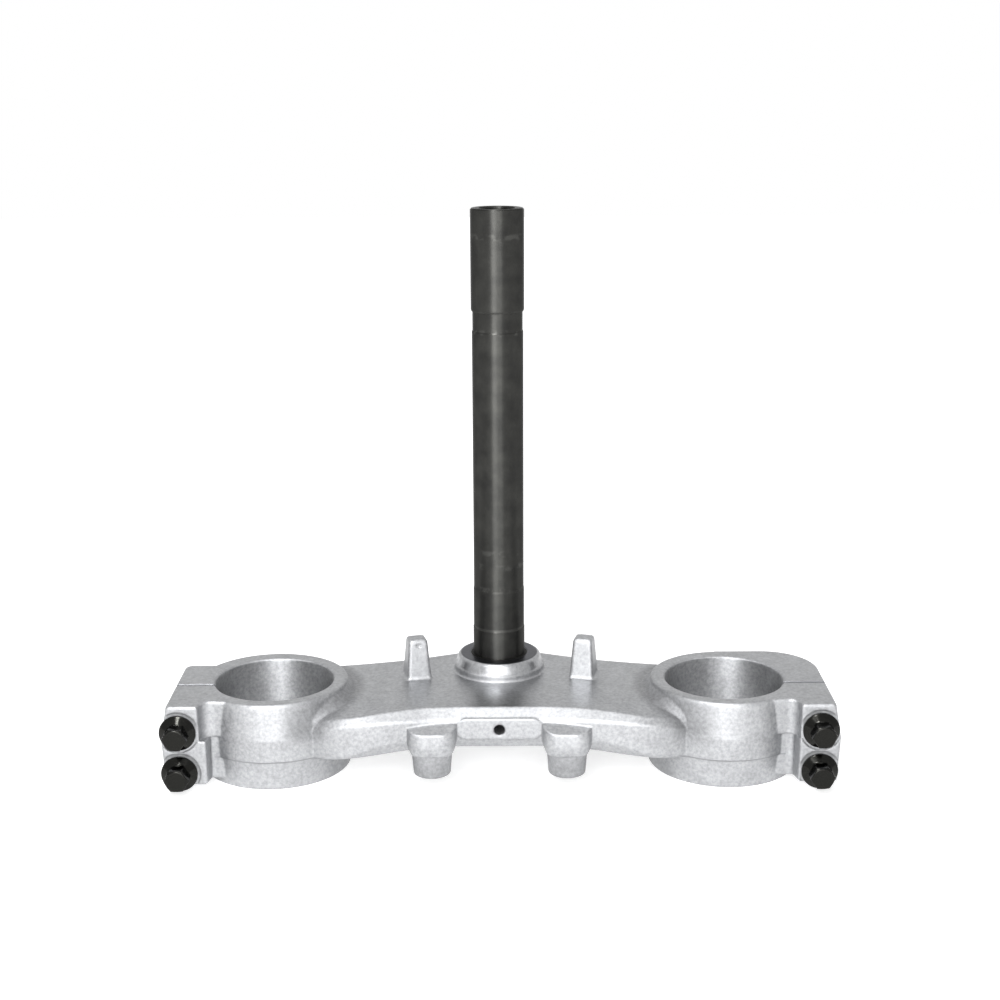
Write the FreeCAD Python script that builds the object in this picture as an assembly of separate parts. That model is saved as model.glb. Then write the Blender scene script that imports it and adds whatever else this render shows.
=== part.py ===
import FreeCAD, Part
import math
import os

# Motorcycle triple clamp, lower half: a cast aluminium yoke that clamps the two
# fork legs, with a pressed-in steel steering stem and four pinch bolts.
# Frame: the origin is on the steering axis, at the shoulder where the lower bearing
# seats. +X runs across the bike from fork to fork, +Y to the rear, +Z up the stem.
# All sizes are in millimetres.

Vec = FreeCAD.Vector
UP = Vec(0, 0, 1)

# Layout of the yoke
fork_spacing = 214.0
fork_offset = 27.0
seat_rise = 3.9

# Fork rings
fork_bore_d = 56.0
ring_wall = 8.8
ring_height = 41.4
ring_top_r = 36.0
ring_top_back = 1.0
ring_top_out = 1.2
ring_low_draft = 0.1
parting_drop = 17.0
collar_drop = 27.6
collar_step = 0.7
collar_draft = 0.8
ring_edge_r = 1.5
collar_edge_r = 1.2
bore_chamfer = 0.8

# Pinch ears and their slit
slit_w = 2.0
slit_forward = 7.5
ear_front_inset = 0.8
left_ear_margin = 7.9
right_ear_margin = 9.4
ear_top_lean = 2.8
ear_low_lean = 1.2
ear_edge = 0.7
ear_corner_r = 3.0
ear_foot_rise = 3.2
left_ear_rear = 19.5
right_ear_rear = 36.8
right_ear_rear_r = 24.0
valley_end_slope = 0.12

# Pinch bolts, M8 with a flanged head and a 10 mm hexagon
bolt_d = 8.0
bolt_len = 45.0
bolt_from_bore = 12.6
bolt_pitch = 20.0
bolt_top_drop = 12.7
flange_d = 16.9
flange_rim = 1.3
flange_cone = 2.2
hex_af = 10.0
head_h = 10.2
hex_chamfer = 0.9
bolt_tip = 1.0
bolt_turns = {"left_upper": -4.0, "left_lower": 2.0, "right_upper": 5.0, "right_lower": 3.0}
bolt_hole_play = 0.25
thread_play = 0.05
tapped_depth = 29.0
spot_face_d = 19.5
spot_face_depth = 0.7

# Bridge between the rings
bridge_drop = 4.5
top_edge_r = 1.4
bevel_r = 1.6
crease_r = 1.2
foot_r = 1.0
foot_undercut = 2.0

# Steering stem
seat_d = 25.0
seat_len = 13.6
seat_step = 0.2
base_land_len = 19.5
shank_d = 24.2
neck_d = 23.6
neck_len = 9.0
top_d = 25.0
top_len = 47.5
stem_reach = 215.6
stem_bore_d = 16.0
stem_edge = 0.6
press_d = 27.4

# Stem boss on the bridge
boss_top_d = 39.4
boss_low_d = 42.6
boss_edge_r = 2.2
boss_ring_d = 43.8
boss_ring_drop = 5.0
boss_foot_r = 1.2
under_boss_d = 43.0
under_boss_drop = 35.0
under_boss_edge = 1.5
stem_end_recess = 0.8

# Lightening pockets under the bridge
pocket_wall = 7.0
pocket_roof = 9.5
pocket_draft = 1.2
pocket_corner_r = 6.0
pocket_floor_r = 1.5

# Steering stop posts on the bridge
left_stop_out = 39.9
right_stop_out = 41.1
stop_forward = 10.2
stop_h = 19.4
stop_base_w = 11.6
stop_base_l = 13.2
stop_top_w = 9.2
stop_top_l = 9.0
stop_turn = 14.0
stop_corner_r = 1.4
stop_crown = 1.6
stop_foot_r = 1.2
mark_d = 2.4
mark_rise = 16.6
mark_depth = 0.3

# Mudguard bosses under the front of the bridge
guard_spacing = 62.6
guard_forward = 29.5
guard_low_d = 17.2
guard_mid_d = 19.0
guard_pad_d = 23.2
guard_foot_drop = 35.2
guard_seam_drop = 24.0
guard_flare_drop = 17.8
guard_ledge_drop = 10.4
guard_ledge_slope = 20.0
guard_flat_reach = 10.3
guard_flat_w = 7.6
guard_back = 6.0
guard_edge_r = 0.8
guard_hole_d = 5.0
guard_hole_depth = 16.0

# Raised pad and tapped hole in the middle of the bridge front
pad_w = 40.6
pad_h = 10.2
pad_r = 4.9
pad_rise = 0.4
pad_edge = 0.4
pad_reach = 6.0
pad_drop = 13.4
front_hole_d = 5.0
front_hole_drop = 0.4
front_hole_depth = 16.0
tap_chamfer = 0.4

# Places that follow from the sizes above
fork_x = fork_spacing / 2
fork_y = -fork_offset
ring_top = -seat_rise
ring_foot = ring_top - ring_height
bore_r = fork_bore_d / 2
ring_r = bore_r + ring_wall
parting_z = ring_top - parting_drop
collar_z = ring_top - collar_drop
slit_y = fork_y - slit_forward
bridge_top = ring_top - bridge_drop
bolt_x = fork_x + bore_r + bolt_from_bore
bolt_heights = {"upper": ring_top - bolt_top_drop,
                "lower": ring_top - bolt_top_drop - bolt_pitch}
ear_front = fork_y - ring_r + ear_front_inset
bolt_seat_y = ear_front + spot_face_depth
through = 400.0


def rounded_wire(points, radii):
    """Closed wire through planar points, each corner rounded by its own radius."""
    count = len(points)
    starts = []
    ends = []
    middles = []
    for i, corner in enumerate(points):
        to_last = (points[i - 1] - corner).normalize()
        to_next = (points[(i + 1) % count] - corner).normalize()
        half = to_last.getAngle(to_next) / 2
        reach = radii[i] / math.tan(half)
        inward = (to_last + to_next).normalize()
        starts.append(corner + to_last * reach)
        ends.append(corner + to_next * reach)
        middles.append(corner + inward * (radii[i] / math.sin(half) - radii[i]))
    edges = []
    for i in range(count):
        if radii[i] > 0:
            edges.append(Part.Arc(starts[i], middles[i], ends[i]).toShape())
        following = (i + 1) % count
        edges.append(Part.LineSegment(ends[i], starts[following]).toShape())
    return Part.Wire(edges)


def turned(profile, axis_x, axis_y):
    """Solid of revolution from (radius, z) corners, about a vertical axis."""
    points = [Vec(axis_x + r, axis_y, z) for r, z, edge_r in profile]
    radii = [edge_r for r, z, edge_r in profile]
    face = Part.Face(rounded_wire(points, radii))
    return face.revolve(Vec(axis_x, axis_y, 0), UP, 360)


def circle(radius, x, y, z):
    """Horizontal round wire."""
    return Part.Wire(Part.makeCircle(radius, Vec(x, y, z), UP))


def fork_ring(side):
    """Outside of one fork ring: a collar, a drafted lower half and a leaning upper half."""
    x = side * fork_x
    low_r = ring_r - ring_low_draft
    collar_r = low_r - collar_step
    lower = turned([
        (0, ring_foot, 0),
        (collar_r - collar_draft, ring_foot, collar_edge_r),
        (collar_r, collar_z, 0),
        (low_r, collar_z, 0),
        (ring_r, parting_z, 0),
        (0, parting_z, 0),
    ], x, fork_y)
    top_x = x + side * ring_top_out
    top_y = fork_y + ring_top_back
    wires = [circle(ring_r, x, fork_y, parting_z)]
    for drop, inset in ((ring_edge_r, 0), (ring_edge_r * 0.3, ring_edge_r * 0.3), (0, ring_edge_r)):
        wires.append(circle(ring_top_r - inset, top_x, top_y, ring_top - drop))
    return lower.fuse(Part.makeLoft(wires, True, True))


# Inner side of each ear above and below the parting line. Beyond the fork axis: where the
# ear's face starts, the root of its flank and the end of the valley beside the ring. Then
# the radius at the root, and how far the valley's wall is ahead of the fork axis.
ear_flanks = {
    (-1, "upper"): (31.2, 29.4, 24.3, 5.0, 29.2),
    (-1, "lower"): (27.9, 26.7, 24.3, 1.2, 28.6),
    (1, "upper"): (31.6, 30.2, 26.0, 5.0, 29.2),
    (1, "lower"): (31.2, 29.4, 26.0, 2.4, 27.8),
}


def ear_outline(side, half, z, outward, inset):
    """Plan of one pinch ear at height z, from inside its ring."""
    margin = left_ear_margin if side < 0 else right_ear_margin
    x_out = bolt_x + margin + outward - inset
    y_front = ear_front + inset
    face, root, valley, root_r, forward = ear_flanks[side, half]
    y_valley = fork_y - forward + inset
    inner_out = bore_r * 0.58
    inner = Vec(side * (fork_x + inner_out), y_valley - (valley - inner_out) * valley_end_slope, z)
    valley_end = Vec(side * (fork_x + valley), y_valley, z)
    flank_root = Vec(side * (fork_x + root + inset), y_valley, z)
    front_in = Vec(side * (fork_x + face + inset), y_front, z)
    front_out = Vec(side * x_out, y_front, z)
    if side < 0:
        rear_y = fork_y + left_ear_rear - inset
        rear_out = Vec(side * x_out, rear_y, z)
        rear_in = Vec(side * (fork_x + bore_r / 2), rear_y, z)
        rear_r = ear_corner_r
    else:
        rear_y = fork_y + right_ear_rear - inset
        rear_out = Vec(side * x_out, rear_y, z)
        rear_in = Vec(side * fork_x, rear_y, z)
        rear_r = right_ear_rear_r
    points = [inner, valley_end, flank_root, front_in, front_out, rear_out, rear_in]
    radii = [0, 0.8, root_r, 0.8, 1.5, rear_r, 0]
    return rounded_wire(points, radii)


def pinch_ear(side):
    """One ear, leaning in above and below the parting line, its top edge eased."""
    foot = ring_foot + ear_foot_rise
    upper = [
        (parting_z, 0, 0),
        (ring_top - ear_edge, -ear_top_lean, 0),
        (ring_top, -ear_top_lean, ear_edge),
    ]
    lower = [
        (foot, -ear_low_lean, ear_edge),
        (foot + ear_edge, -ear_low_lean, 0),
        (parting_z, 0, 0),
    ]
    halves = []
    for half, levels in (("upper", upper), ("lower", lower)):
        wires = [ear_outline(side, half, z, lean, inset) for z, lean, inset in levels]
        halves.append(Part.makeLoft(wires, True, True))
    return halves[0].fuse(halves[1])


# One row for each cross-section of the bridge, from the middle out to the fork axis.
# The share of the way to the fork axis comes first. Ahead of the fork line: nose, front
# top edge and shoulder. Behind it: rear top edge and back. Below the ring tops: front
# top edge, bevel foot, crease and foot.
bridge_rows = [
    (0.00, 31.0, 25.4, 12.0, 52.5, 56.5, 4.6, 9.0, 18.9, 22.9),
    (0.26, 31.4, 25.6, 12.0, 44.8, 48.8, 4.6, 9.0, 18.8, 23.0),
    (0.42, 34.6, 28.8, 12.0, 38.2, 42.0, 4.8, 8.6, 18.8, 23.6),
    (0.55, 36.6, 32.2, 12.0, 34.4, 37.8, 5.8, 8.8, 20.6, 25.1),
    (0.63, 36.4, 33.0, 12.0, 32.4, 35.6, 6.8, 9.8, 24.4, 26.2),
    (0.71, 34.8, 31.8, 13.0, 30.7, 33.7, 8.2, 11.2, 26.3, 27.4),
    (0.78, 31.8, 29.0, 14.0, 29.0, 32.0, 10.0, 13.2, 27.2, 28.2),
    (0.87, 28.6, 26.2, 14.0, 26.6, 29.6, 12.0, 15.4, 27.6, 28.6),
    (1.00, 26.6, 24.2, 14.0, 24.0, 27.0, 13.6, 17.0, 27.6, 28.6),
]


def bridge_section(side, row):
    """Closed section of the bridge in a plane across X."""
    share, nose, top_front, shoulder, top_back, back, front_drop, bevel, crease, foot = row
    x = side * share * fork_x
    corners = [
        (-shoulder, bridge_drop, 0),
        (-top_front, front_drop, top_edge_r),
        (-nose, bevel, bevel_r),
        (-nose, crease, crease_r),
        (foot_undercut - nose, foot, foot_r),
        (back - foot_undercut, foot, foot_r),
        (back, crease, crease_r),
        (back, bevel, bevel_r),
        (top_back, bridge_drop, 0.5),
    ]
    points = [Vec(x, fork_y + y, ring_top - drop) for y, drop, r in corners]
    return rounded_wire(points, [r for y, drop, r in corners])


def bridge():
    """Bridge lofted through its sections from the left fork axis to the right one."""
    left = [bridge_section(-1, row) for row in reversed(bridge_rows)]
    right = [bridge_section(1, row) for row in bridge_rows[1:]]
    return Part.makeLoft(left + right, True, False)


# One row for each section of the cove where a ring stands on the bridge: angle around
# the fork axis from the stem side towards the rear, reach beyond the ring wall, how far
# its foot is below the ring tops, and how hollow it is, from 0 for flat to 1 for a
# quarter round.
cove_rows = [
    (64.0, 0.6, 4.6, 1.0),
    (48.0, 2.2, 4.6, 1.0),
    (28.0, 3.4, 4.6, 1.0),
    (0.0, 4.6, 4.6, 1.0),
    (-18.0, 4.8, 4.7, 0.95),
    (-30.0, 4.6, 5.6, 0.9),
    (-39.0, 3.6, 7.2, 0.85),
    (-46.0, 2.0, 9.0, 0.8),
    (-52.0, 0.2, 10.6, 0.7),
    (-58.0, -1.4, 11.8, 0.7),
]


def ring_cove(side):
    """Concave blend from the ring wall down to the bridge, fading out at both ends."""
    wires = []
    for angle, reach, drop, hollow in cove_rows:
        turn = math.radians(angle)
        out = Vec(-side * math.cos(turn), math.sin(turn), 0)
        axis = Vec(side * fork_x, fork_y, 0)
        start_r = ring_top_r - 0.2 + out.dot(Vec(side * ring_top_out, ring_top_back, 0))
        start = axis + out * start_r + UP * (ring_top - ring_edge_r)
        foot = axis + out * (ring_r + reach) + UP * (ring_top - drop)
        low = ring_top - drop - 3.0
        corner = Vec(start.x, start.y, foot.z) + out * 0.3
        middle = corner + ((start - corner) + (foot - corner)) * (0.5 - (math.sqrt(0.5) - 0.5) * hollow)
        back = start - out * 4.0
        points = [foot, Vec(foot.x, foot.y, low), Vec(back.x, back.y, low), back, start]
        edges = [Part.Arc(start, middle, foot).toShape()]
        for first, second in zip(points, points[1:]):
            edges.append(Part.LineSegment(first, second).toShape())
        wires.append(Part.Wire(edges))
    return Part.makeLoft(wires, True, False)


def stem_boss():
    """Round boss that carries the stem, with a low ring at its foot and a boss below."""
    ring_r_out = boss_ring_d / 2
    ring_z = -boss_ring_drop
    foot_z = bridge_top - 0.2
    under_z = ring_top - under_boss_drop
    profile = [
        (0, under_z, 0),
        (under_boss_d / 2, under_z, under_boss_edge),
        (under_boss_d / 2, foot_z - 5.0, 0),
        (ring_r_out + boss_foot_r + 0.5, foot_z - 5.0, 0),
        (ring_r_out + boss_foot_r + 0.5, foot_z, 0),
        (ring_r_out, foot_z, boss_foot_r),
        (ring_r_out, ring_z, 0.5),
        (boss_low_d / 2, ring_z, 0),
        (boss_top_d / 2, 0, boss_edge_r),
        (0, 0, 0),
    ]
    return turned(profile, 0, 0)


def stop_post(side):
    """Tapered steering stop with a crowned top. The left one keeps a pin mark."""
    x = -left_stop_out if side < 0 else right_stop_out
    y = -stop_forward
    levels = [
        (bridge_top - 1.0, 0, -stop_foot_r),
        (bridge_top, 0, -stop_foot_r),
        (bridge_top + stop_foot_r * 0.3, 0, -stop_foot_r * 0.35),
        (bridge_top + stop_foot_r, 0, 0),
        (bridge_top + stop_h - stop_crown, 1, 0),
        (bridge_top + stop_h - stop_crown * 0.3, 1, stop_crown * 0.3),
        (bridge_top + stop_h, 1, stop_crown),
    ]
    wires = []
    for z, share, inset in levels:
        half_w = (stop_base_w + (stop_top_w - stop_base_w) * share) / 2 - inset
        half_l = (stop_base_l + (stop_top_l - stop_base_l) * share) / 2 - inset
        corners = [Vec(-half_w, -half_l, z), Vec(half_w, -half_l, z),
                   Vec(half_w, half_l, z), Vec(-half_w, half_l, z)]
        wires.append(rounded_wire(corners, [stop_corner_r] * 4))
    post = Part.makeLoft(wires, True, True)
    if side < 0:
        share = mark_rise / (stop_h - stop_crown)
        front = (stop_base_l + (stop_top_l - stop_base_l) * share) / 2
        post = post.cut(Part.makeCylinder(mark_d / 2, 4.0, Vec(0, mark_depth - front - 4.0, bridge_top + mark_rise),
                                          Vec(0, 1, 0)))
    post.rotate(Vec(0, 0, 0), UP, -side * stop_turn)
    post.translate(Vec(x, y, 0))
    return post


def guard_section(x, y, z, half_w, front):
    """Plan of the head of a mudguard boss at height z: a flat front between round corners."""
    corners = [Vec(x - half_w, y - front, z), Vec(x + half_w, y - front, z),
               Vec(x + half_w, y + guard_back, z), Vec(x - half_w, y + guard_back, z)]
    round_r = half_w - guard_flat_w / 2
    return rounded_wire(corners, [round_r, round_r, 1.0, 1.0])


def guard_boss(side):
    """Mudguard boss: a drafted round column under a head that flares, with a flat front."""
    x = side * guard_spacing / 2
    y = fork_y - guard_forward
    foot = ring_top - guard_foot_drop
    seam = ring_top - guard_seam_drop
    flare = ring_top - guard_flare_drop
    head = ring_top - guard_ledge_drop + 6.0
    mid_r = guard_mid_d / 2
    pad_r = guard_pad_d / 2
    column = turned([
        (0, foot, 0),
        (guard_low_d / 2, foot, guard_edge_r),
        (mid_r, seam, 0),
        (mid_r, head, 0),
        (0, head, 0),
    ], x, y)
    wires = [
        guard_section(x, y, seam, mid_r + 0.2, mid_r + 0.2),
        guard_section(x, y, (seam + flare) / 2, mid_r + 1.5, guard_flat_reach),
        guard_section(x, y, flare, pad_r, guard_flat_reach),
        guard_section(x, y, head, pad_r, guard_flat_reach),
    ]
    flared = Part.makeLoft(wires, True, False)
    size = guard_pad_d * 2
    ledge = Part.makeBox(size, 3 * size, size, Vec(x - size / 2, -2 * size, 0))
    ledge.rotate(Vec(x, 0, 0), Vec(1, 0, 0), guard_ledge_slope)
    ledge.translate(Vec(0, fork_y - bridge_rows[1][1], ring_top - guard_ledge_drop))
    return column.fuse(flared).cut(ledge)


def under_pocket(side):
    """Drafted pocket in the underside, between the stem boss and one ring."""
    x_in = under_boss_d / 2 + pocket_wall
    x_out = fork_x - ring_r - pocket_wall
    inner = bridge_rows[1]
    outer = bridge_rows[3]
    y_front_in = fork_y - guard_forward + guard_mid_d / 2 + pocket_wall / 2
    y_front_out = fork_y - outer[1] + foot_undercut + 2 * pocket_wall
    corners = [
        (x_in, y_front_in),
        (x_out - pocket_wall, y_front_out),
        (x_out, fork_y),
        (x_out - pocket_wall / 2, fork_y + outer[5] - foot_undercut - pocket_wall),
        (x_in, fork_y + inner[5] - foot_undercut - pocket_wall),
    ]
    roof = bridge_top - pocket_roof
    mouth = ring_top - outer[9] - 3.0
    levels = [(mouth, 0), (roof - pocket_floor_r, 1), (roof - pocket_floor_r * 0.3, 1.35), (roof, 2.2)]
    middle = Vec(side * (x_in + x_out) / 2, fork_y + pocket_wall, 0)
    wires = []
    for z, share in levels:
        points = []
        for x, y in corners:
            out = Vec(side * x, y, 0) - middle
            points.append(middle + out * (1 - pocket_draft * share / out.Length) + UP * z)
        wires.append(rounded_wire(points, [pocket_corner_r] * 5))
    return Part.makeLoft(wires, True, True)


def blind_hole(mouth, inward, diameter, depth):
    """Drilled and tapped blind hole with a small chamfer at its mouth."""
    r = diameter / 2
    start = mouth - inward
    hole = Part.makeCylinder(r, depth + 1.0, start, inward)
    cone = Part.makeCone(r + tap_chamfer, r, tap_chamfer, mouth, inward)
    tip = Part.makeCone(r, 0.3, r * 0.6, mouth + inward * depth, inward)
    return hole.fuse([cone, tip])


def fork_bore(side):
    """Fork bore with a chamfer at each mouth."""
    x = side * fork_x
    r = bore_r
    c = bore_chamfer
    profile = [
        (0, ring_foot - 1, 0),
        (r + c + 1, ring_foot - 1, 0),
        (r, ring_foot + c, 0),
        (r, ring_top - c, 0),
        (r + c + 1, ring_top + 1, 0),
        (0, ring_top + 1, 0),
    ]
    return turned(profile, x, fork_y)


def pinch_slit(side):
    """Slit from the bore out through the ear."""
    length = 2 * (bolt_x - fork_x)
    x0 = fork_x if side > 0 else -fork_x - length
    return Part.makeBox(length, slit_w, through, Vec(x0, slit_y - slit_w / 2, -through / 2))


def bolt_holes(side, z):
    """Spot face and clearance hole in the front jaw, tapped hole in the rear jaw."""
    x = side * bolt_x
    back = Vec(0, 1, 0)
    spot = Part.makeCylinder(spot_face_d / 2, 20, Vec(x, bolt_seat_y - 20, z), back)
    plain = Part.makeCylinder(bolt_d / 2 + bolt_hole_play, slit_y - bolt_seat_y,
                              Vec(x, bolt_seat_y, z), back)
    tapped = Part.makeCylinder(bolt_d / 2 + thread_play, tapped_depth, Vec(x, slit_y, z), back)
    return [spot, plain, tapped]


def front_pad():
    """Raised flat pad with rounded ends in the middle of the bridge front."""
    z = ring_top - pad_drop
    y = fork_y - bridge_rows[0][1] - pad_rise
    edge = Vec(0, pad_edge, 0)
    wires = []
    for inset in (pad_edge, 0):
        half_w = pad_w / 2 - inset
        half_h = pad_h / 2 - inset
        corners = [Vec(-half_w, y, z - half_h), Vec(half_w, y, z - half_h),
                   Vec(half_w, y, z + half_h), Vec(-half_w, y, z + half_h)]
        wires.append(rounded_wire(corners, [pad_r - inset] * 4))
    wires[1].translate(edge)
    rim = Part.makeLoft(wires, True, True)
    body = Part.Face(wires[1]).extrude(Vec(0, pad_reach, 0))
    return rim.fuse(body)


def front_hole():
    """Tapped hole in the pad."""
    mouth = Vec(0, fork_y - bridge_rows[0][1] - pad_rise, ring_top - pad_drop - front_hole_drop)
    return blind_hole(mouth, Vec(0, 1, 0), front_hole_d, front_hole_depth)


def clamp_casting():
    """The whole casting, machined."""
    sides = (-1, 1)
    body = bridge()
    added = [stem_boss(), front_pad()]
    for side in sides:
        added.append(fork_ring(side))
        added.append(pinch_ear(side))
        added.append(ring_cove(side))
        added.append(stop_post(side))
        added.append(guard_boss(side))
    body = body.fuse(added)
    cuts = [Part.makeCylinder(press_d / 2, through, Vec(0, 0, -through / 2), UP)]
    cuts.append(front_hole())
    for side in sides:
        cuts.append(fork_bore(side))
        cuts.append(under_pocket(side))
        cuts.append(pinch_slit(side))
        mouth = Vec(side * guard_spacing / 2, fork_y - guard_forward,
                    ring_top - guard_foot_drop)
        cuts.append(blind_hole(mouth, UP, guard_hole_d, guard_hole_depth))
        for z in bolt_heights.values():
            cuts += bolt_holes(side, z)
    return body.cut(cuts)


def steering_stem():
    """Hollow turned stem, pressed into the boss up to its shoulder."""
    bottom = ring_top - under_boss_drop + stem_end_recess
    top = stem_reach
    top_start = top - top_len
    land_end = seat_len + base_land_len
    rs = seat_d / 2
    profile = [
        (stem_bore_d / 2, bottom, 0),
        (press_d / 2 - stem_edge, bottom, 0),
        (press_d / 2, bottom + stem_edge, 0),
        (press_d / 2, 0, 0.2),
        (rs, 0, 0),
        (rs, seat_len, 0),
        (rs - seat_step, seat_len + seat_step, 0),
        (rs - seat_step, land_end, 0),
        (shank_d / 2, land_end + 1.0, 0),
        (shank_d / 2, top_start - neck_len - 0.5, 0),
        (neck_d / 2, top_start - neck_len, 0),
        (neck_d / 2, top_start, 0),
        (top_d / 2 - 0.3, top_start, 0),
        (top_d / 2, top_start + 0.8, 0),
        (top_d / 2, top - stem_edge, 0),
        (top_d / 2 - stem_edge, top, 0),
        (stem_bore_d / 2 + stem_edge, top, 0),
        (stem_bore_d / 2, top - stem_edge, 0),
    ]
    return turned(profile, 0, 0)


def pinch_bolt(side, z, turn):
    """Flange bolt lying along Y: cone flange, chamfered hexagon, shank with a lead."""
    half_flange = flange_d / 2
    shank_r = bolt_d / 2
    profile = [
        (0, 0, 0),
        (half_flange - 0.3, 0, 0),
        (half_flange, 0.3, 0),
        (half_flange, flange_rim, 0.4),
        (hex_af / 2 + 0.4, flange_rim + flange_cone, 0.5),
        (hex_af / 2 + 0.4, flange_rim + flange_cone + 0.2, 0),
        (0, flange_rim + flange_cone + 0.2, 0),
    ]
    flange = turned(profile, 0, 0)
    corner_r = hex_af / math.sqrt(3)
    corners = []
    for i in range(6):
        angle = math.radians(60 * i)
        corners.append(Vec(corner_r * math.cos(angle), corner_r * math.sin(angle), 0))
    hexagon = Part.Face(Part.makePolygon(corners + [corners[0]])).extrude(Vec(0, 0, head_h))
    crown = turned([
        (0, -1, 0),
        (corner_r + 1, -1, 0),
        (corner_r + 1, head_h - hex_chamfer * 1.6, 0),
        (hex_af / 2 - hex_chamfer * 0.4, head_h, 0),
        (0, head_h, 0),
    ], 0, 0)
    head = hexagon.common(crown)
    shank = turned([
        (0, -bolt_len, 0),
        (shank_r - bolt_tip, -bolt_len, 0),
        (shank_r, -bolt_len + bolt_tip, 0),
        (shank_r, 0.2, 0),
        (0, 0.2, 0),
    ], 0, 0)
    bolt = flange.fuse([head, shank]).removeSplitter()
    bolt.rotate(Vec(0, 0, 0), UP, turn)
    bolt.rotate(Vec(0, 0, 0), Vec(1, 0, 0), 90)
    bolt.translate(Vec(side * bolt_x, bolt_seat_y, z))
    return bolt


def write(name, shape):
    """One STEP file for each piece."""
    shape.Solids[0].exportStep(os.path.join("parts", name + ".step"))


os.makedirs("parts", exist_ok=True)
write("lower_clamp_casting", clamp_casting())
write("steering_stem", steering_stem())
for side, side_name in ((-1, "left"), (1, "right")):
    for level, height in bolt_heights.items():
        place = side_name + "_" + level
        write("pinch_bolt_" + place, pinch_bolt(side, height, bolt_turns[place]))
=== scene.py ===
import bpy
import math
from mathutils import Matrix, Vector


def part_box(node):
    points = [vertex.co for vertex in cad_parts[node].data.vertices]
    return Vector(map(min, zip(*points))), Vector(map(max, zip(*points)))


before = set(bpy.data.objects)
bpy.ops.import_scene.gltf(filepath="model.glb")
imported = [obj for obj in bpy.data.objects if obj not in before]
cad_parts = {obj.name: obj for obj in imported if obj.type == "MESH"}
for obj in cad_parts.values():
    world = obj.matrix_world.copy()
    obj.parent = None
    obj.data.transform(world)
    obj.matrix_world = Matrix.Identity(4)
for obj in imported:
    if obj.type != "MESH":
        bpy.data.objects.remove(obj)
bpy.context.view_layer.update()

# Everything is in metres in the CAD frame: the origin is where the lower bearing seats,
# +X runs from fork to fork, +Y to the rear of the bike and +Z up the stem.
MM = 0.001
fork_x = 107.0 * MM
fork_y = -27.0 * MM
bore_r = 28.0 * MM
ring_r = 36.8 * MM
collar_z = -31.5 * MM
hollow_r = 38.3 * MM
hollow_z = -13.0 * MM
bridge_top_z = -6.0 * MM
bridge_reach = 92.0 * MM
boss_r = 20.4 * MM
boss_side_z = -2.6 * MM
guard_x = 31.3 * MM
guard_y = -56.5 * MM
guard_r = 8.5 * MM
guard_z = -36.0 * MM
slit_y = -34.5 * MM
slit_half_width = 1.1 * MM
slit_middle_x = 146.0 * MM
slit_half_length = 12.0 * MM
# Height of the stem's painted highlight ring, and heights of its lighter patches, partly scuffs and
# partly painted highlight.
seat_edge_highlight_z = 14.2 * MM
scuff_and_glint_heights = [34.5 * MM, 46.0 * MM, 53.0 * MM, 159.0 * MM, 203.0 * MM]
floor_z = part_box("lower_clamp_casting")[0].z

# Widths of the patterns. A blasted dimple is really about 0.4 mm wide and the specks of phosphate
# and oxide are finer still, too fine to show here, so they are drawn coarser.
dimple_width = 1.5 * MM
mould_width = 9.0 * MM
phosphate_cloud_width = 7.0 * MM
phosphate_speck_width = 0.7 * MM
scuff_and_glint_width = 5.0 * MM
oxide_speck_width = 0.5 * MM

# The camera, from its fit to the photograph.
focal_pixels = 1669.0
picture_pixels = 1000.0
sensor_width_mm = 36.0
camera_place = (0.78 * MM, -776.5 * MM, 277.6 * MM)
camera_pitch = math.radians(14.5)
camera_roll = math.radians(-0.27)


def linear(code):
    """Linear colour from an sRGB hex value."""
    parts = [int(code[i:i + 2], 16) / 255 for i in (1, 3, 5)]
    return tuple(c / 12.92 if c <= 0.04045 else ((c + 0.055) / 1.055) ** 2.4 for c in parts) + (1.0,)


def add(tree, kind, settings=None, links=None):
    """Adds one shader node with its settings and its input links."""
    node = tree.nodes.new("ShaderNode" + kind)
    for name, value in (settings or {}).items():
        if isinstance(name, int) or name in node.inputs:
            node.inputs[name].default_value = value
        else:
            setattr(node, name, value)
    for name, source in (links or {}).items():
        tree.links.new(source, node.inputs[name])
    return node


def new_material(name):
    """An empty material with its tree and surface output."""
    material = bpy.data.materials.new(name)
    material.use_nodes = True
    tree = material.node_tree
    tree.nodes.clear()
    return material, tree, tree.nodes.new("ShaderNodeOutputMaterial")


def near(tree, source, middle, reach, soft):
    """1 where a number lies within reach of middle, fading to 0 over soft."""
    away = add(tree, "Math", {"operation": "SUBTRACT", 1: middle}, {0: source})
    size = add(tree, "Math", {"operation": "ABSOLUTE"}, {0: away.outputs[0]})
    faded = add(tree, "MapRange", {"From Min": reach + soft, "From Max": reach},
                {"Value": size.outputs[0]})
    return faded.outputs[0]


def both(tree, first, second):
    """The overlap of two masks."""
    return add(tree, "Math", {"operation": "MULTIPLY"}, {0: first, 1: second}).outputs[0]


def either(tree, first, second):
    """Two masks laid together."""
    return add(tree, "Math", {"operation": "MAXIMUM"}, {0: first, 1: second}).outputs[0]


def around(tree, place, x, y):
    """Distance from a vertical axis."""
    away = add(tree, "VectorMath", {"operation": "MULTIPLY_ADD", 1: (1, 1, 0), 2: (-x, -y, 0)},
               {0: place})
    return add(tree, "VectorMath", {"operation": "LENGTH"}, {0: away.outputs[0]}).outputs["Value"]


def on_both_sides(tree, place, x, y, radius, reach, soft):
    """1 near a radius round the two vertical axes at -x and +x."""
    left = near(tree, around(tree, place, -x, y), radius, reach, soft)
    right = near(tree, around(tree, place, x, y), radius, reach, soft)
    return either(tree, left, right)


def background_rays(tree):
    """1 for the rays that see the white background: the camera's and those in metal or glass."""
    rays = add(tree, "LightPath")
    seen = either(tree, rays.outputs["Is Camera Ray"], rays.outputs["Is Glossy Ray"])
    return either(tree, seen, rays.outputs["Is Transmission Ray"])


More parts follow.
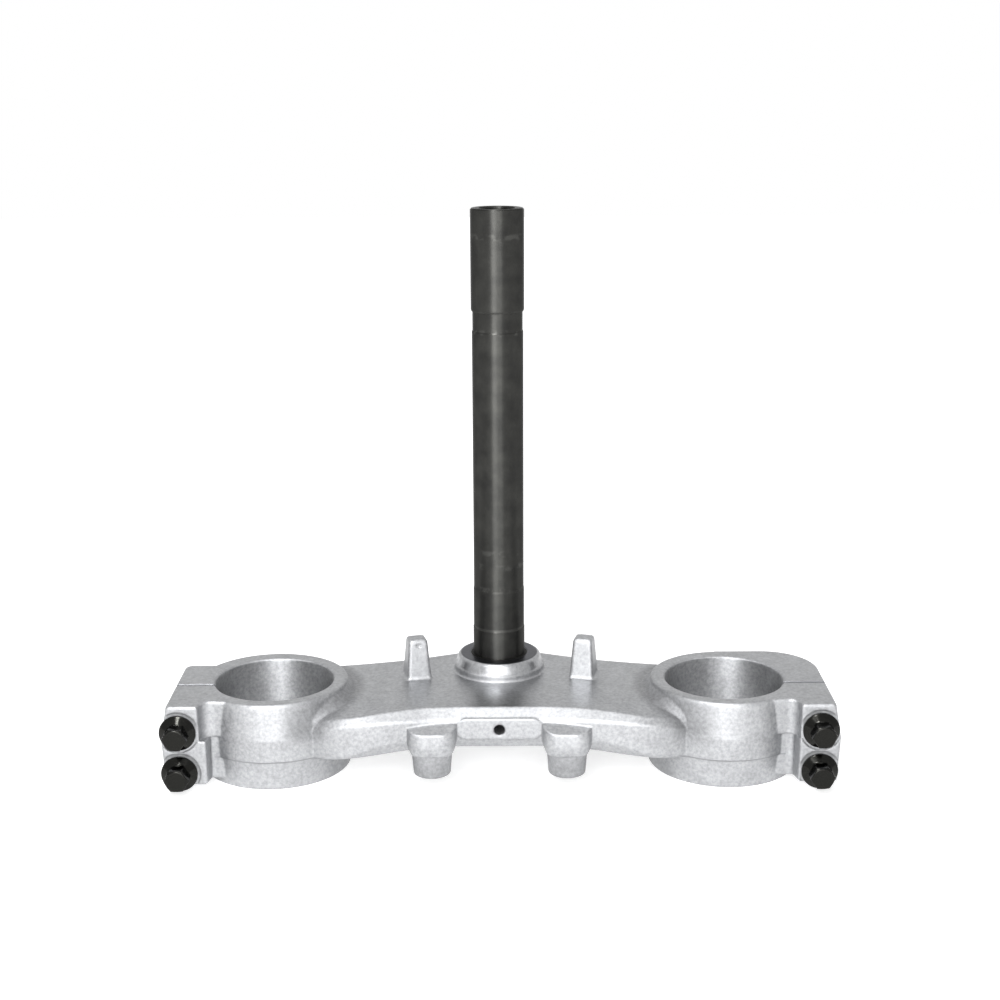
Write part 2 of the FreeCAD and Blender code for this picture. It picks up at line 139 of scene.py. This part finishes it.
def cast_aluminium():
    """Shot-blasted cast aluminium: a silvery matt metal with a fine sparkle of grains. The bridge
    top and the turned boss are smoother and mirror what stands near them, and the bores draw
    their highlights out upright."""
    material, tree, output = new_material("shot_blasted_cast_aluminium")
    place = add(tree, "TexCoord").outputs["Object"]
    parts = add(tree, "SeparateXYZ", links={0: place})
    height = parts.outputs["Z"]
    slope = add(tree, "SeparateXYZ", links={0: add(tree, "NewGeometry").outputs["Normal"]})
    # Blasted dimples, and the wider unevenness of the sand mould under them.
    grain = add(tree, "TexNoise", {"Scale": 1 / dimple_width, "Detail": 3.0, "Roughness": 0.6},
                {"Vector": place})
    mould = add(tree, "TexNoise", {"Scale": 1 / mould_width, "Detail": 2.0}, {"Vector": place})

    # Where each finish lies.
    level = near(tree, slope.outputs["Z"], 1.0, 0.02, 0.10)
    smooth_top = both(tree, level, near(tree, height, bridge_top_z, 2.8 * MM, 0.4 * MM))
    bored = on_both_sides(tree, place, fork_x, fork_y, bore_r, 0.15 * MM, 0.1 * MM)
    boss_wall = near(tree, around(tree, place, 0.0, 0.0), boss_r, 1.2 * MM, 0.3 * MM)
    boss_side = both(tree, boss_wall, near(tree, height, boss_side_z, 2.3 * MM, 0.3 * MM))
    boss_top = both(tree, level, near(tree, height, 0.0, 0.05 * MM, 0.1 * MM))
    turned = either(tree, boss_top, boss_side)
    # Painted shade: the lower mudguard bosses and the hollows beside the rings are drawn darker, and
    # the hollows are also rougher.
    guard = on_both_sides(tree, place, guard_x, guard_y, 0.0, guard_r, 1.5 * MM)
    low_guard = both(tree, guard, near(tree, height, guard_z, 14.0 * MM, 3.0 * MM))
    hollow = on_both_sides(tree, place, fork_x, fork_y, hollow_r, 2.0 * MM, 4.5 * MM)
    inner_hollow = both(tree, hollow, near(tree, parts.outputs["X"], 0.0, bridge_reach, 10.0 * MM))
    high_hollow = both(tree, inner_hollow, near(tree, height, hollow_z, 5.0 * MM, 7.0 * MM))
    painted_shade_mask = either(tree, low_guard, high_hollow)
    # A fine line of painted shade runs round each ring under the ledge where its collar steps back.
    ring_wall = on_both_sides(tree, place, fork_x, fork_y, ring_r, 1.2 * MM, 0.3 * MM)
    collar_shade_line = both(tree, ring_wall, near(tree, height, collar_z, 0.15 * MM, 0.4 * MM))
    # The slits are sawn after the blasting, and their faces are darker.
    outward = add(tree, "Math", {"operation": "ABSOLUTE"}, {0: parts.outputs["X"]}).outputs[0]
    sawn = both(tree, near(tree, parts.outputs["Y"], slit_y, slit_half_width, 0.1 * MM),
                near(tree, outward, slit_middle_x, slit_half_length, 0.3 * MM))

    # Colour.
    grain_part = add(tree, "MapRange", {"From Min": 0.3, "From Max": 0.7},
                     {"Value": grain.outputs["Fac"]})
    tone = add(tree, "Mix", {"data_type": "RGBA", 6: linear("#939496"), 7: linear("#afb0b2")},
               {0: grain_part.outputs[0]})
    shade = add(tree, "MapRange", {"From Min": 0.3, "From Max": 0.7, "To Min": 0.9},
                {"Value": mould.outputs["Fac"]})
    colour = add(tree, "Mix", {"data_type": "RGBA", "blend_type": "MULTIPLY", 0: 1.0},
                 {6: tone.outputs[2], 7: shade.outputs[0]})
    # Painted shade, darkening the lower mudguard bosses and the hollows beside the rings.
    painted_shade_colour = add(tree, "Mix", {"data_type": "RGBA", "blend_type": "MULTIPLY", 7: linear("#d6d6d6")},
                 {0: painted_shade_mask, 6: colour.outputs[2]})
    # Painted shade line under each collar's ledge.
    collar_shade_colour = add(tree, "Mix", {"data_type": "RGBA", 7: linear("#8b8c8e")},
                  {0: collar_shade_line, 6: painted_shade_colour.outputs[2]})
    # Painted reflection: the turned top of the boss is coloured dark grey, standing for the dark stem
    # mirrored in it.
    boss_top_reflection_tone = add(tree, "Mix", {"data_type": "RGBA", 7: linear("#55565a")},
                      {0: boss_top, 6: collar_shade_colour.outputs[2]})
    sawn_tone = add(tree, "Mix", {"data_type": "RGBA", 7: linear("#7c7d80")},
                    {0: sawn, 6: boss_top_reflection_tone.outputs[2]})
    # The turned ring on top of the boss mirrors less at a low angle.
    grazing_tint = add(tree, "Mix", {"data_type": "RGBA", 6: linear("#ffffff"), 7: linear("#e6e6e6")},
                       {0: boss_top})

    # Roughness.
    rough = add(tree, "MapRange", {"To Min": 0.44, "To Max": 0.54}, {"Value": grain_part.outputs[0]})
    hollow_rough = add(tree, "Mix", {"data_type": "FLOAT", 3: 0.66},
                       {0: high_hollow, 2: rough.outputs[0]})
    top_rough = add(tree, "Mix", {"data_type": "FLOAT", 3: 0.36},
                    {0: smooth_top, 2: hollow_rough.outputs[0]})
    bore_rough = add(tree, "Mix", {"data_type": "FLOAT", 3: 0.58},
                     {0: bored, 2: top_rough.outputs[0]})
    turned_rough = add(tree, "Mix", {"data_type": "FLOAT", 3: 0.33},
                       {0: turned, 2: bore_rough.outputs[0]})
    # Boring marks run round the bores, so they smear a highlight up and down.
    smear = add(tree, "Math", {"operation": "MULTIPLY", 1: 0.86}, {0: bored})
    upward = add(tree, "CombineXYZ", {"Z": 1.0})

    # Relief. Blasting rounds every cast edge over about 1.5 mm.
    eased = add(tree, "Bevel", {"Radius": 1.5 * MM, "samples": 6})
    dimple_strength = add(tree, "MapRange", {"To Min": 0.5, "To Max": 0.12}, {"Value": smooth_top})
    dimple = add(tree, "Bump", {"Distance": 0.10 * MM},
                 {"Height": grain.outputs["Fac"], "Strength": dimple_strength.outputs[0],
                  "Normal": eased.outputs[0]})
    wave = add(tree, "Bump", {"Strength": 0.3, "Distance": 0.35 * MM},
               {"Height": mould.outputs["Fac"], "Normal": dimple.outputs["Normal"]})
    shader = add(tree, "BsdfPrincipled", {"Metallic": 1.0},
                 {"Base Color": sawn_tone.outputs[2], "Specular Tint": grazing_tint.outputs[2],
                  "Roughness": turned_rough.outputs[0], "Normal": wave.outputs["Normal"],
                  "Anisotropic": smear.outputs[0], "Tangent": upward.outputs[0]})
    tree.links.new(shader.outputs[0], output.inputs["Surface"])
    return material


def phosphated_steel():
    """Turned steel with a dark phosphate skin: satin, with a highlight smeared along it by the
    turning marks, a painted highlight ring where the bearing seat ends, and a few lighter patches
    that are partly scuffs and partly painted highlight."""
    material, tree, output = new_material("phosphated_turned_steel")
    place = add(tree, "TexCoord").outputs["Object"]
    height = add(tree, "SeparateXYZ", links={0: place}).outputs["Z"]
    cloud = add(tree, "TexNoise", {"Scale": 1 / phosphate_cloud_width, "Detail": 4.0},
                {"Vector": place})
    speck = add(tree, "TexNoise", {"Scale": 1 / phosphate_speck_width, "Detail": 2.0},
                {"Vector": place})
    cloud_part = add(tree, "MapRange", {"From Min": 0.3, "From Max": 0.7},
                     {"Value": cloud.outputs["Fac"]})
    tone = add(tree, "Mix", {"data_type": "RGBA", 6: linear("#343433"), 7: linear("#3f3f3d")},
               {0: cloud_part.outputs[0]})
    # Scuffs are flat patches a few millimetres wide, at the heights where the photo has them.
    patch = add(tree, "TexNoise", {"Scale": 1 / scuff_and_glint_width, "Detail": 3.0}, {"Vector": place})
    broken = add(tree, "MapRange", {"From Min": 0.5, "From Max": 0.62},
                 {"Value": patch.outputs["Fac"]})
    # The ring where the bearing seat ends is a painted highlight, and the lighter patches are partly
    # scuffs and partly painted highlight.
    glint_and_scuffs = near(tree, height, seat_edge_highlight_z, 0.3 * MM, 0.6 * MM)
    for z in scuff_and_glint_heights:
        scuff_and_glint = both(tree, broken.outputs[0], near(tree, height, z, 0.6 * MM, 1.2 * MM))
        glint_and_scuffs = either(tree, glint_and_scuffs, scuff_and_glint)
    # Painted highlight: the ring and the patches are drawn lighter, and the patches are partly scuffs
    # too.
    glinted_and_scuffed = add(tree, "Mix", {"data_type": "RGBA", 7: linear("#4b4b49")},
               {0: glint_and_scuffs, 6: tone.outputs[2]})
    rough = add(tree, "MapRange", {"From Min": 0.3, "From Max": 0.7, "To Min": 0.34, "To Max": 0.44},
                {"Value": speck.outputs["Fac"]})
    bump = add(tree, "Bump", {"Strength": 0.2, "Distance": 0.03 * MM},
               {"Height": speck.outputs["Fac"]})
    turning = add(tree, "Tangent", {"direction_type": "RADIAL", "axis": "Z"})
    shader = add(tree, "BsdfPrincipled",
                 {"Metallic": 1.0, "Anisotropic": 0.9, "Anisotropic Rotation": 0.25,
                  "Specular Tint": linear("#c0c0c0")},
                 {"Base Color": glinted_and_scuffed.outputs[2], "Roughness": rough.outputs[0],
                  "Normal": bump.outputs["Normal"], "Tangent": turning.outputs[0]})
    tree.links.new(shader.outputs[0], output.inputs["Surface"])
    return material


def black_oxide_steel():
    """Forged bolt steel in black oxide: nearly black, with a soft oily shine."""
    material, tree, output = new_material("black_oxide_steel")
    place = add(tree, "TexCoord").outputs["Object"]
    speck = add(tree, "TexNoise", {"Scale": 1 / oxide_speck_width, "Detail": 2.0}, {"Vector": place})
    speck_part = add(tree, "MapRange", {"From Min": 0.3, "From Max": 0.7},
                     {"Value": speck.outputs["Fac"]})
    tone = add(tree, "Mix", {"data_type": "RGBA", 6: linear("#1e1e1d"), 7: linear("#2a2a28")},
               {0: speck_part.outputs[0]})
    # Forging leaves the edges of the hexagon and flange rounded by about 0.7 mm.
    eased = add(tree, "Bevel", {"Radius": 0.7 * MM, "samples": 8})
    shader = add(tree, "BsdfPrincipled", {"Metallic": 1.0, "Roughness": 0.15},
                 {"Base Color": tone.outputs[2], "Normal": eased.outputs[0]})
    tree.links.new(shader.outputs[0], output.inputs["Surface"])
    return material


def dress(node, material):
    """Gives every slot of a CAD node the material."""
    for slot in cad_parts[node].material_slots:
        slot.material = material


def floor():
    """Plain pale floor that shows white to the camera and keeps the object's soft shadow."""
    mesh = bpy.data.meshes.new("floor")
    half = 3.0
    corners = [(-half, -half, floor_z), (half, -half, floor_z), (half, half, floor_z),
               (-half, half, floor_z)]
    mesh.from_pydata(corners, [], [(0, 1, 2, 3)])
    plane = bpy.data.objects.new("floor", mesh)
    bpy.context.scene.collection.objects.link(plane)
    material, tree, output = new_material("pale_floor")
    matt = add(tree, "BsdfDiffuse", {"Color": linear("#e6e6e6")})
    # The white grows away from the object, so that the floor runs into the surround unseen.
    place = add(tree, "TexCoord").outputs["Object"]
    far = add(tree, "MapRange", {"From Min": 0.15, "From Max": 0.8, "To Min": 0.65},
              {"Value": around(tree, place, 0.0, 0.0)})
    white = add(tree, "Emission", {"Color": (1, 1, 1, 1)}, {"Strength": far.outputs[0]})
    lit = add(tree, "AddShader", links={0: matt.outputs[0], 1: white.outputs[0]})
    choice = add(tree, "MixShader",
                 links={0: background_rays(tree), 1: matt.outputs[0], 2: lit.outputs[0]})
    tree.links.new(choice.outputs[0], output.inputs["Surface"])
    mesh.materials.append(material)


def white_surround():
    """World that is white behind the object and gives a plain level of light."""
    world = bpy.data.worlds.new("studio")
    bpy.context.scene.world = world
    world.use_nodes = True
    tree = world.node_tree
    tree.nodes.clear()
    output = tree.nodes.new("ShaderNodeOutputWorld")
    plain = add(tree, "Background", {"Color": (1, 1, 1, 1), "Strength": 0.3})
    white = add(tree, "Background", {"Color": (1, 1, 1, 1), "Strength": 1.0})
    choice = add(tree, "MixShader",
                 links={0: background_rays(tree), 1: plain.outputs[0], 2: white.outputs[0]})
    tree.links.new(choice.outputs[0], output.inputs["Surface"])


def softbox(name, place, target, width, height, watts):
    """Rectangular studio lamp aimed at a point."""
    data = bpy.data.lights.new(name, "AREA")
    data.shape = "RECTANGLE"
    data.size = width
    data.size_y = height
    data.energy = watts
    lamp = bpy.data.objects.new(name, data)
    lamp.location = place
    lamp.rotation_mode = "QUATERNION"
    lamp.rotation_quaternion = (Vector(target) - Vector(place)).to_track_quat("-Z", "Y")
    bpy.context.scene.collection.objects.link(lamp)


def camera():
    """The photograph's viewpoint: 0.78 m in front, looking 14.5 degrees down."""
    data = bpy.data.cameras.new("camera")
    data.sensor_width = sensor_width_mm
    data.lens = sensor_width_mm * focal_pixels / picture_pixels
    data.clip_start = 0.01
    item = bpy.data.objects.new("camera", data)
    tilt = Matrix.Rotation(math.radians(90) - camera_pitch, 4, "X")
    look = tilt @ Matrix.Rotation(camera_roll, 4, "Z")
    item.matrix_world = Matrix.Translation(camera_place) @ look
    bpy.context.scene.collection.objects.link(item)
    bpy.context.scene.camera = item


casting_skin = cast_aluminium()
stem_skin = phosphated_steel()
bolt_skin = black_oxide_steel()
dress("lower_clamp_casting", casting_skin)
dress("steering_stem", stem_skin)
for name in sorted(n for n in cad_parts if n.startswith("pinch_bolt")):
    dress(name, bolt_skin)

floor()
white_surround()
# A small lamp high in front draws the bright line along the bridge's front edge, and a weak one
# above lifts the hollows. Two tall ones side by side draw the highlights of stem, boss and rings.
softbox("overhead", (-0.22, -0.70, 0.93), (-0.08, -0.25, 0), 0.22, 0.28, 11.0)
softbox("top", (-0.06, -0.14, 1.0), (0, -0.05, 0), 0.45, 0.45, 2.0)
softbox("key", (-0.28, -1.12, 0.31), (0, 0, 0.03), 0.46, 1.0, 9.0)
softbox("fill", (0.20, -1.28, 0.36), (0, 0, 0.03), 0.5, 1.0, 7.0)
camera()
bpy.context.scene.view_settings.view_transform = "Standard"
